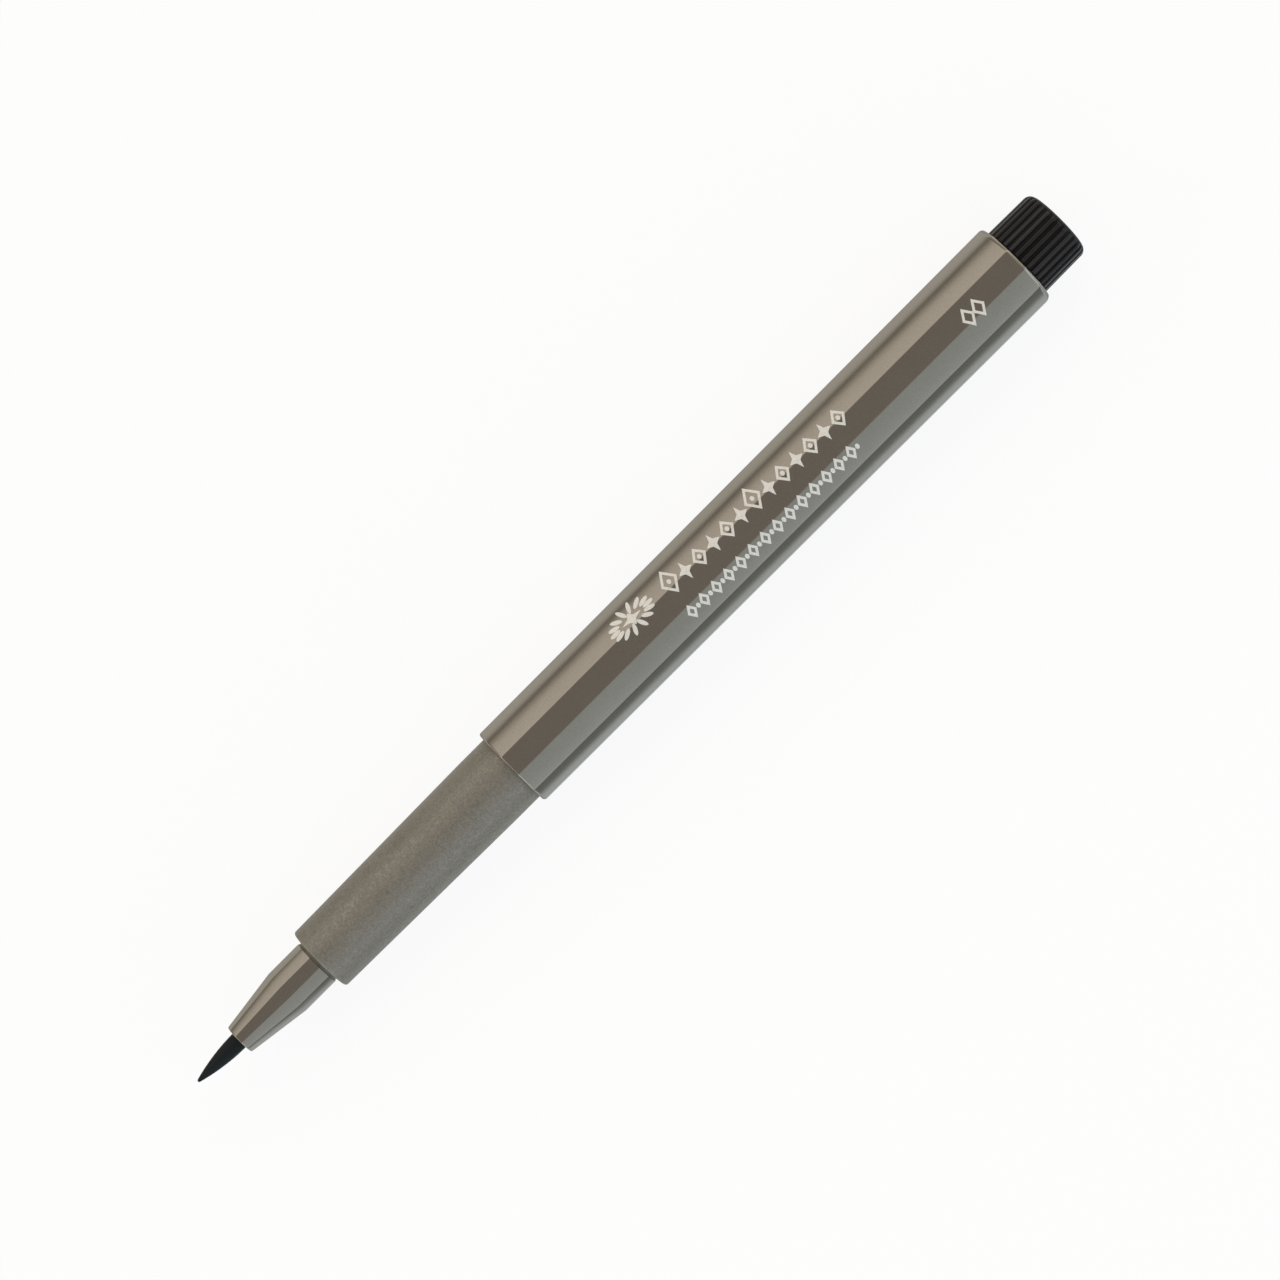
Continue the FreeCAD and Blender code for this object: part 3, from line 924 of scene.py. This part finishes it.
@dataclass
class Ornament:
    """Abstract printed border, rosette and rear mark that follow the flats.

    A pair that says where something is holds its distance from the barrel's
    front and its place across, and any other pair holds a length and a width.
    """

    barrel: Barrel
    target: bpy.types.Object
    finish: WhiteInk
    stroke: float = 0.30 * MM
    bead: tuple[float, float] = (0.5 * MM, 0.62 * MM)
    star_waist: float = 0.42
    lift: float = 0.012 * MM
    film: float = 0.008 * MM
    clear: float = 8.0 * MM
    rosette: tuple[float, float] = (21.5 * MM, 2.05 * MM)
    rosette_reach: tuple[float, float] = (2.55 * MM, 1.2 * MM)
    petals: int = 14
    petal: tuple[float, float] = (1.45 * MM, 0.52 * MM)
    heart: tuple[float, float] = (2.9 * MM, 1.7 * MM)
    border_start: float = 26.3 * MM
    border_pitch: float = 2.2 * MM
    border_count: int = 13
    border_foot: float = 0.36 * MM
    tall_steps: tuple[int, ...] = (0, 6)
    small: tuple[float, float] = (1.95 * MM, 2.5 * MM)
    tall: tuple[float, float] = (2.35 * MM, 3.35 * MM)
    row_start: float = 26.9 * MM
    row_pitch: float = 0.97 * MM
    row_count: int = 28
    row_across: float = -2.18 * MM
    link: tuple[float, float] = (1.3 * MM, 1.85 * MM)
    mark: tuple[float, float] = (72.9 * MM, -0.78 * MM)
    mark_size: tuple[float, float] = (1.75 * MM, 2.6 * MM)
    mark_spread: float = 0.8 * MM
    stroke_cuts: int = 5
    fill_cuts: int = 3

    def stamps(self) -> list[Stamp]:
        """Lay every motif out.

        Returns:
            The motifs, with stations measured from the barrel's front.
        """
        laid = []
        for step in range(self.petals):
            turn = TURN * step / self.petals
            away = (self.rosette_reach[0] * math.cos(turn), self.rosette_reach[1] * math.sin(turn))
            laid.append(Stamp(Motif.DOT, self.rosette[0] + away[0], self.rosette[1] + away[1],
                              *self.petal, math.atan2(away[1], away[0])))
        laid.append(Stamp(Motif.STAR, *self.rosette, *self.heart))
        for step in range(self.border_count):
            width, height = self.tall if step in self.tall_steps else self.small
            place = (self.border_start + (step + 0.5) * self.border_pitch,
                     self.border_foot + height / 2)
            laid.append(Stamp(Motif.STAR if step % 2 else Motif.LOZENGE, *place, width, height))
            if step % 2 == 0:
                laid.append(Stamp(Motif.DOT, *place, *self.bead))
        for step in range(self.row_count):
            size = self.bead if step % 2 else self.link
            laid.append(Stamp(
                Motif.DOT if step % 2 else Motif.LOZENGE,
                self.row_start + step * self.row_pitch, self.row_across, *size))
        for side in (-1, 1):
            laid.append(Stamp(Motif.LOZENGE, self.mark[0] + side * self.mark_spread,
                              self.mark[1], *self.mark_size))
        return laid

    def shape(self, stamp: Stamp) -> bpy.types.Object:
        """Model one motif flat, at its place above the barrel.

        Args:
            stamp: the motif and where it goes.

        Returns:
            The motif.
        """
        radius = 0.5
        centre = Vector((self.barrel.front + stamp.station, stamp.across, AXIS.height + self.clear))
        deselect_all()
        bpy.ops.mesh.primitive_circle_add(vertices=stamp.motif.value, radius=radius,
                                          fill_type="NGON", location=centre)
        piece = bpy.context.object
        bpy.ops.object.transform_apply(location=True)
        if stamp.motif is Motif.STAR:

            def is_waist(point: Vector) -> bool:
                """Whether a vertex lies between two rays of the star."""
                away = point - centre
                return min(abs(away.x), abs(away.y)) > radius / 5

            pick(piece, Pick.VERTS, is_waist)
            bpy.ops.transform.resize(value=(self.star_waist,) * 3, center_override=centre)
        else:
            bpy.ops.object.mode_set(mode="EDIT")
        bpy.ops.mesh.select_all(action="SELECT")
        bpy.ops.transform.resize(value=(stamp.width, stamp.height, 1), center_override=centre)
        bpy.context.tool_settings.mesh_select_mode = Pick.FACES.value
        if stamp.motif is Motif.LOZENGE:
            bpy.ops.mesh.inset(thickness=min(self.stroke, stamp.height / 5))
            bpy.ops.mesh.delete(type="FACE")
            bpy.ops.mesh.select_all(action="SELECT")
            bpy.ops.mesh.subdivide(number_cuts=self.stroke_cuts)
        else:
            bpy.ops.mesh.poke()
            bpy.ops.mesh.subdivide(number_cuts=self.fill_cuts)
        bpy.ops.mesh.select_all(action="SELECT")
        if stamp.turn:
            bpy.ops.transform.rotate(value=-stamp.turn, orient_axis="Z", center_override=centre)
        bpy.ops.object.mode_set(mode="OBJECT")
        return piece

    def cut_at_corners(self, piece: bpy.types.Object) -> None:
        """Split the faces where the flats meet, so that they can fold there.

        Args:
            piece: the flat ornament.
        """
        make_active(piece)
        bpy.ops.object.mode_set(mode="EDIT")
        slope = (self.barrel.rear_flat - self.barrel.front_flat) / (
            self.barrel.rear - self.barrel.front) * math.tan(HALF_FACET)
        for side in (-1, 1):
            corner = side * self.barrel.front_flat * math.tan(HALF_FACET)
            for shift in (-1, 0, 1):
                across = corner + shift * self.barrel.edge_round
                bpy.ops.mesh.select_all(action="SELECT")
                bpy.ops.mesh.bisect(plane_co=(self.barrel.front, across, 0),
                                    plane_no=(-side * slope, 1, 0))
        bpy.ops.object.mode_set(mode="OBJECT")

    def build(self) -> bpy.types.Object:
        """Model, drape and dress the ornament.

        Returns:
            The ornament.
        """
        piece = joined("barrel_ornament", [self.shape(stamp) for stamp in self.stamps()])
        self.cut_at_corners(piece)
        make_active(piece)
        drape = piece.modifiers.new("drape", "SHRINKWRAP")
        drape.target = self.target
        drape.wrap_method = "PROJECT"
        drape.use_project_z = True
        drape.use_negative_direction = True
        drape.use_positive_direction = False
        drape.offset = self.lift
        bpy.ops.object.modifier_apply(modifier=drape.name)
        film = piece.modifiers.new("film", "SOLIDIFY")
        film.thickness = self.film
        film.offset = -1
        bpy.ops.object.modifier_apply(modifier=film.name)
        finish_mesh(piece)
        dress(piece, self.finish.make())
        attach(piece, "barrel")
        return piece


@dataclass
class NoseCone:
    """Twelve-sided nose with a round neck painted darker as shade, a spigot and the nib's bore."""

    finish_name: str = "nose_lacquer"
    rim_flat: float = 1.92 * MM
    rear_flat: float = 2.93 * MM
    rim_round: float = 0.18 * MM
    edge_round: float = 0.055 * MM
    crown: float = 0.003
    taper_length: float = 7.63 * MM
    straight_length: float = 4.72 * MM
    neck: float = 2.84 * MM
    spigot: float = 2.72 * MM
    liner: float = 1.6 * MM
    nib_bore: float = 1.10 * MM
    mouth_length: float = 3.0 * MM
    mouth_lead: float = 0.10 * MM
    strips: int = 4
    rim_steps: int = 5
    steps: int = 72

    def build(self) -> bpy.types.Object:
        """Model, close and dress the nose.

        Returns:
            The nose.
        """
        low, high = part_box("nose_cone")
        grip_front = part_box("grip_section")[0].x
        shoulder = low.x + self.taper_length
        neck = shoulder + self.straight_length
        slope = (self.rear_flat - self.rim_flat) / self.taper_length
        tilt = math.degrees(math.atan(slope))
        rim = arc((low.x + self.rim_round, self.rim_flat - self.rim_round),
                  self.rim_round, 180, 90 + tilt, self.rim_steps)
        outline = rim + [(shoulder, self.rear_flat), (neck, self.rear_flat)]
        outside = faceted_shell("nose_outside", outline, self.strips, self.crown,
                                self.edge_round)
        inside = turned("nose_inside", [
            (neck, self.neck),
            (grip_front, self.neck),
            (grip_front, self.spigot),
            (high.x, self.spigot),
            (high.x, self.liner),
            (low.x + self.mouth_length, self.liner),
            (low.x + self.mouth_length, self.nib_bore),
            (low.x + self.mouth_lead, self.nib_bore),
            (low.x, self.nib_bore + self.mouth_lead),
        ], self.steps)
        piece = joined("nose_shell", [outside, inside])
        bridge_at(piece, low.x)
        bridge_at(piece, neck)
        finish_mesh(piece)
        # the neck behind the facets gets painted shade: darker, duller, less metallic lacquer
        finish = MetallicLacquer(self.finish_name, painted_shade_from=neck + MERGE)
        dress(piece, finish.make())
        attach(piece, "front_section")
        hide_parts("nose_cone")
        return piece


@dataclass
class GripSection:
    """Smooth tapered grip with its seat, shoulder and spigot."""

    finish: FlakeMatte
    nose: float = 4.20 * MM
    seat: float = 4.52 * MM
    seat_length: float = 4.0 * MM
    collar: float = 4.62 * MM
    mouth_depth: float = 2.0 * MM
    front_round: float = 0.30 * MM
    spigot: float = 4.13 * MM
    spigot_tip: float = 3.9025 * MM
    spigot_lead: float = 0.5 * MM
    bore: float = 3.22 * MM
    nose_socket: float = 2.72 * MM
    front_steps: int = 6
    steps: int = 144

    def build(self) -> bpy.types.Object:
        """Model and dress the grip.

        Returns:
            The grip.
        """
        low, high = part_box("grip_section")
        barrel_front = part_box("barrel")[0].x
        nose_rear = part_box("nose_cone")[1].x
        floor = barrel_front + self.mouth_depth
        near = self.front_round
        piece = turned("grip_shell", [
            (low.x, self.nose_socket),
            *arc((low.x + near, self.nose - near), near, 180, 90, self.front_steps),
            (barrel_front - self.seat_length, self.seat),
            (barrel_front, self.seat),
            (floor, self.collar),
            (floor, self.spigot),
            (high.x - self.spigot_lead, self.spigot),
            (high.x, self.spigot_tip),
            (high.x, self.bore),
            (nose_rear, self.bore),
            (nose_rear, self.nose_socket),
        ], self.steps, closed=True)
        finish_mesh(piece)
        dress(piece, self.finish.make())
        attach(piece, "front_section")
        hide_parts("grip_section")
        return piece


@dataclass
class BrushNib:
    """Pointed fibre brush with its shank and tail."""

    finish: InkedFibre
    radius: float = 1.08 * MM
    point_round: float = 0.20 * MM
    tail: float = 0.6 * MM
    tail_taper: float = 4.0 * MM
    steps: int = 64
    point_steps: int = 5
    ogive_steps: int = 22

    def ogive(self, tip: float, mouth: float) -> Outline:
        """The long curve from the rounded point to the shank.

        Args:
            tip: station of the point.
            mouth: station where the shank leaves the nose.

        Returns:
            The curve, one arc that meets the point's arc and the shank smoothly.
        """
        length = mouth - tip
        spare = 2 * (self.radius - self.point_round)
        sweep = (length ** 2 - 2 * length * self.point_round + self.radius ** 2) / spare
        centre = (mouth, self.radius - sweep)
        lean = math.degrees(math.atan2(-centre[1], tip + self.point_round - mouth))
        point = arc((tip + self.point_round, 0.0), self.point_round, 180, lean,
                    self.point_steps)
        return point + arc(centre, sweep, lean, 90, self.ogive_steps)[1:]

    def build(self) -> bpy.types.Object:
        """Model and dress the nib.

        Returns:
            The nib.
        """
        low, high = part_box("brush_nib")
        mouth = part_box("nose_cone")[0].x
        outline = self.ogive(low.x, mouth)
        outline += [(high.x - self.tail_taper, self.radius), (high.x, self.tail), (high.x, 0.0)]
        piece = turned("nib_brush", outline, self.steps)
        finish_mesh(piece)
        dress(piece, self.finish.make())
        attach(piece, "nib")
        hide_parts("brush_nib")
        return piece


@dataclass
class EndPlug:
    """Black plug with a ribbed head, a hollow spigot and inner ribs.

    The head is turned in strips.  Each rib and its groove share a few of the
    lines between them, and the first ones lie in the groove.
    """

    finish: RibbedBlack
    ribs: int = 30
    lines_per_rib: int = 5
    groove_lines: int = 2
    front_crest: float = 4.64 * MM
    rear_crest: float = 4.58 * MM
    groove: float = 0.24 * MM
    corner_round: float = 0.9 * MM
    dome: float = 0.25 * MM
    spigot: float = 4.13 * MM
    hollow: float = 3.3 * MM
    floor: float = 1.5 * MM
    seam: float = 0.1 * MM
    crest_round: float = 0.05 * MM
    crest_least: float = 0.02 * MM
    corner_steps: int = 7
    dome_shares: tuple[float, ...] = (0, 0.35, 0.7)
    stop_ribs: int = 4
    stop_strips: float = 5.2
    stop_reach: float = 1.6 * MM

    def __post_init__(self) -> None:
        """Work out the ribs' spacing and the grooves' floor."""
        self.every = TURN / self.ribs
        self.strip = self.every / self.lines_per_rib
        self.root = self.rear_crest - self.groove

    def line_of(self, point: Vector) -> int:
        """Which of its rib's lines a point lies on."""
        return int((AXIS.angle_of(point) + self.strip / 2) % self.every / self.strip)

    def outline(self, front: float, head: float, rear: float) -> Outline:
        """The plug's outline from the middle of its domed end to its hollow.

        Args:
            front: station of the spigot's open end.
            head: station where the head begins.
            rear: station of the dome's middle.

        Returns:
            The outline.
        """
        shoulder = rear - self.dome
        corner = arc((shoulder - self.corner_round, self.rear_crest - self.corner_round),
                     self.corner_round, 0, 90, self.corner_steps)
        rim = self.rear_crest - self.corner_round
        dome = [(rear - self.dome * (share * share), rim * share) for share in self.dome_shares]
        return [
            *dome,
            *corner,
            (head + self.crest_round, self.front_crest),
            (head, self.front_crest - self.crest_round),
            (head, self.spigot),
            (front + self.seam, self.spigot),
            (front, self.spigot - self.seam),
            (front, self.hollow),
            (rear - self.floor, self.hollow),
            (rear - self.floor, 0.0),
        ]

    def cut_grooves(self, piece: bpy.types.Object, head: float) -> None:
        """Press the grooves in, ring by ring, so that they run out at the corner.

        Args:
            piece: the turned plug.
            head: station where the head begins.
        """
        stations = [v.co.x for v in piece.data.vertices if v.co.x > head - MERGE]
        for ring in sorted({round(station, RING_DECIMALS) for station in stations}):

            def in_groove(point: Vector) -> bool:
                """Whether a vertex of this ring lies in a groove."""
                deep = AXIS.radius_of(point) > self.root + MERGE
                here = abs(point.x - ring) < MERGE
                return here and deep and self.line_of(point) < self.groove_lines

            if not pick(piece, Pick.VERTS, in_groove):
                continue
            size = max(AXIS.radius_of(v.co) for v in piece.data.vertices
                       if abs(v.co.x - ring) < MERGE)
            resize_across(self.root / size, ring)
        bpy.ops.object.mode_set(mode="OBJECT")

    def round_crests(self, piece: bpy.types.Object, head: float) -> None:
        """Break the two long edges of every rib.

        Args:
            piece: the grooved plug.
            head: station where the head begins.
        """
        sides = (self.groove_lines, self.lines_per_rib - 1)

        def is_crest(a: Vector, b: Vector) -> bool:
            """Whether an edge runs along the side of a rib's crest."""
            lengthwise = AXIS.spread(a, b) < self.strip / 4 and min(a.x, b.x) > head - MERGE
            reach = min(AXIS.radius_of(a), AXIS.radius_of(b))
            return lengthwise and reach > self.root + self.crest_least and self.line_of(a) in sides

        pick(piece, Pick.EDGES, is_crest)
        bpy.ops.mesh.bevel(offset=self.crest_round, segments=2, affect="EDGES")
        bpy.ops.object.mode_set(mode="OBJECT")

    def build(self) -> bpy.types.Object:
        """Model and dress the plug.

        Returns:
            The plug.
        """
        low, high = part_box("end_plug")
        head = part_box("barrel")[1].x + self.seam
        piece = turned("plug_shell", self.outline(low.x, head, high.x),
                       self.ribs * self.lines_per_rib)
        self.cut_grooves(piece, head)
        self.round_crests(piece, head)
        grow_ribs(piece, self.stop_ribs, self.stop_strips / 2 * self.strip, self.hollow,
                  self.stop_reach, low.x, high.x - self.floor)
        finish_mesh(piece, sharp_degrees=30.0)
        dress(piece, self.finish.make())
        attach(piece, "plug")
        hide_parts("end_plug")
        return piece


@dataclass
class InkStore:
    """The liner, the fibre rod and its film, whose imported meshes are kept."""

    finishes: dict = field(default_factory=lambda: {
        "nib_liner": MouldedNatural(),
        "reservoir_fibre": InkedFibre("stored_fibre", (0.03, 0.03, 0.035), "fibre"),
        "reservoir_film": ClearFilm(),
    })

    def build(self) -> None:
        """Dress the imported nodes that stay."""
        for node, finish in self.finishes.items():
            dress(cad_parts[node], finish.make())
            LOG.info("%s: kept and dressed", node)


# ------------------------------------------------------------------ the studio


@dataclass(frozen=True)
class Band:
    """One strip of the studio's light: its angle round the pen and its colour."""

    degrees: float
    light: Colour


@dataclass
class Studio:
    """Camera, floor and a ring of strip lights round the pen."""

    distance: float = 0.565
    lens: float = 140.35
    sensor: float = 36.0
    near_clip: float = 0.01
    lean: float = 3.3
    roll: float = 44.995
    aim_station: float = 1.77 * MM
    aim_across: float = 0.027 * MM
    floor_size: float = 6.0
    floor_tones: tuple[Colour, Colour] = ((0.115, 0.115, 0.115), (0.125, 0.125, 0.125))
    floor_glow: float = 0.885
    backdrop: Colour = (0.93, 0.93, 0.93)
    strength: float = 1.6
    end_glow: float = 0.7
    end_range: tuple[float, float] = (0.45, 0.85)
    bands: tuple[Band, ...] = (
        Band(-180, (0.27, 0.26, 0.24)),
        Band(-134, (0.36, 0.35, 0.32)),
        Band(-128, (0.48, 0.47, 0.44)),
        Band(-121.4, (0.50, 0.49, 0.46)),
        Band(-120.4, (0.23, 0.21, 0.18)),
        Band(-114, (0.23, 0.21, 0.18)),
        Band(-104, (0.27, 0.25, 0.22)),
        Band(-84, (0.27, 0.25, 0.22)),
        Band(-74, (0.23, 0.21, 0.18)),
        Band(-66.4, (0.23, 0.21, 0.18)),
        Band(-65.6, (0.65, 0.615, 0.58)),
        Band(-54, (0.71, 0.665, 0.61)),
        Band(-40, (0.70, 0.65, 0.59)),
        Band(-24, (0.40, 0.37, 0.33)),
        Band(-14, (0.238, 0.220, 0.202)),
        Band(12, (0.238, 0.222, 0.206)),
        Band(30, (0.34, 0.36, 0.38)),
        Band(57, (0.405, 0.445, 0.48)),
        Band(62, (0.485, 0.53, 0.58)),
        Band(78, (0.66, 0.70, 0.74)),
        Band(86, (0.18, 0.20, 0.21)),
        Band(117.3, (0.18, 0.20, 0.21)),
        Band(118.4, (0.60, 0.65, 0.71)),
        Band(123, (0.56, 0.61, 0.66)),
        Band(130, (0.37, 0.40, 0.43)),
        Band(180, (0.27, 0.30, 0.32)),
    )

    def world(self) -> None:
        """Light by direction round the pen, with a plain pale backdrop."""
        world = bpy.data.worlds.new("studio")
        bpy.context.scene.world = world
        world.use_nodes = True
        graph = Graph(world.node_tree)
        graph.nodes.clear()
        sky = graph.wire("ShaderNodeTexCoord", {}, {}, "Generated")
        parts = graph.node("ShaderNodeSeparateXYZ", {}, {0: sky}).outputs
        along, across, above = (Wire(graph, part) for part in parts)
        angle = (-1.0 * across).angle_from(above)
        stops = [((band.degrees + 180) / 360, (*band.light, 1.0)) for band in self.bands]
        light = graph.wire("ShaderNodeValToRGB", {"stops": stops}, {
            0: angle.span(-math.pi, math.pi, 0.0, 1.0, Ease.EVEN)})
        glow = abs(along).span(*self.end_range, self.strength, self.strength * (1 + self.end_glow))
        strips = graph.wire("ShaderNodeBackground", {}, {"Color": light, "Strength": glow})
        plain = graph.wire("ShaderNodeBackground", {}, {"Color": (*self.backdrop, 1.0)})
        seen = graph.wire("ShaderNodeLightPath", {}, {}, "Is Camera Ray")
        blend = graph.wire("ShaderNodeMixShader", {}, {0: seen, 1: strips, 2: plain})
        graph.node("ShaderNodeOutputWorld", {}, {0: blend})

    def floor(self) -> None:
        """A plain pale floor that the pen lies on."""
        deselect_all()
        bpy.ops.mesh.primitive_plane_add(size=self.floor_size, location=(0, 0, 0))
        floor = bpy.context.object
        floor.name = "studio_floor"
        floor.visible_glossy = False
        recipe = Recipe("pale_floor")
        recipe.feed(
            Base_Color=recipe.mix(recipe.noise(3.0), *self.floor_tones),
            Roughness=0.9,
            Emission_Color=(1.0, 1.0, 1.0, 1.0),
            Emission_Strength=self.floor_glow,
        )
        dress(floor, recipe.material)

    def camera(self) -> None:
        """A long lens above the pen, turned so that the pen runs corner to corner."""
        lean = math.radians(self.lean)
        roll = math.radians(self.roll)
        back = Vector((0, -math.sin(lean), math.cos(lean)))
        along = Vector((1, 0, 0))
        above = back.cross(along)
        right = along * math.cos(roll) - above * math.sin(roll)
        up = along * math.sin(roll) + above * math.cos(roll)
        aim = AXIS.point(self.aim_station) - above * self.aim_across
        turn = Matrix((right, up, back)).transposed().to_4x4()
        deselect_all()
        bpy.ops.object.camera_add()
        camera = bpy.context.object
        camera.name = "camera"
        camera.matrix_world = Matrix.Translation(aim + back * self.distance) @ turn
        camera.data.lens = self.lens
        camera.data.sensor_width = self.sensor
        camera.data.clip_start = self.near_clip
        bpy.context.scene.camera = camera

    def build(self) -> None:
        """Set the studio up."""
        bpy.context.scene.view_settings.view_transform = "Standard"
        self.world()
        self.floor()
        self.camera()
        LOG.info("studio: ready")


def main() -> None:
    """Build the marker piece by piece, then the studio."""
    logging.basicConfig(level=logging.INFO, format="%(name)s: %(message)s")
    barrel = Barrel(MetallicLacquer())
    tube = barrel.build()
    pieces = [
        tube,
        Ornament(barrel, tube, WhiteInk()).build(),
        NoseCone().build(),
        GripSection(FlakeMatte()).build(),
        BrushNib(InkedFibre("nib_fibre", (0.0048, 0.0086, 0.0090), "nib")).build(),
        EndPlug(RibbedBlack()).build(),
    ]
    for piece in pieces:
        LOG.info("%s: %d faces", piece.name, len(piece.data.polygons))
    InkStore().build()
    Studio().build()


if __name__ == "__main__":
    main()
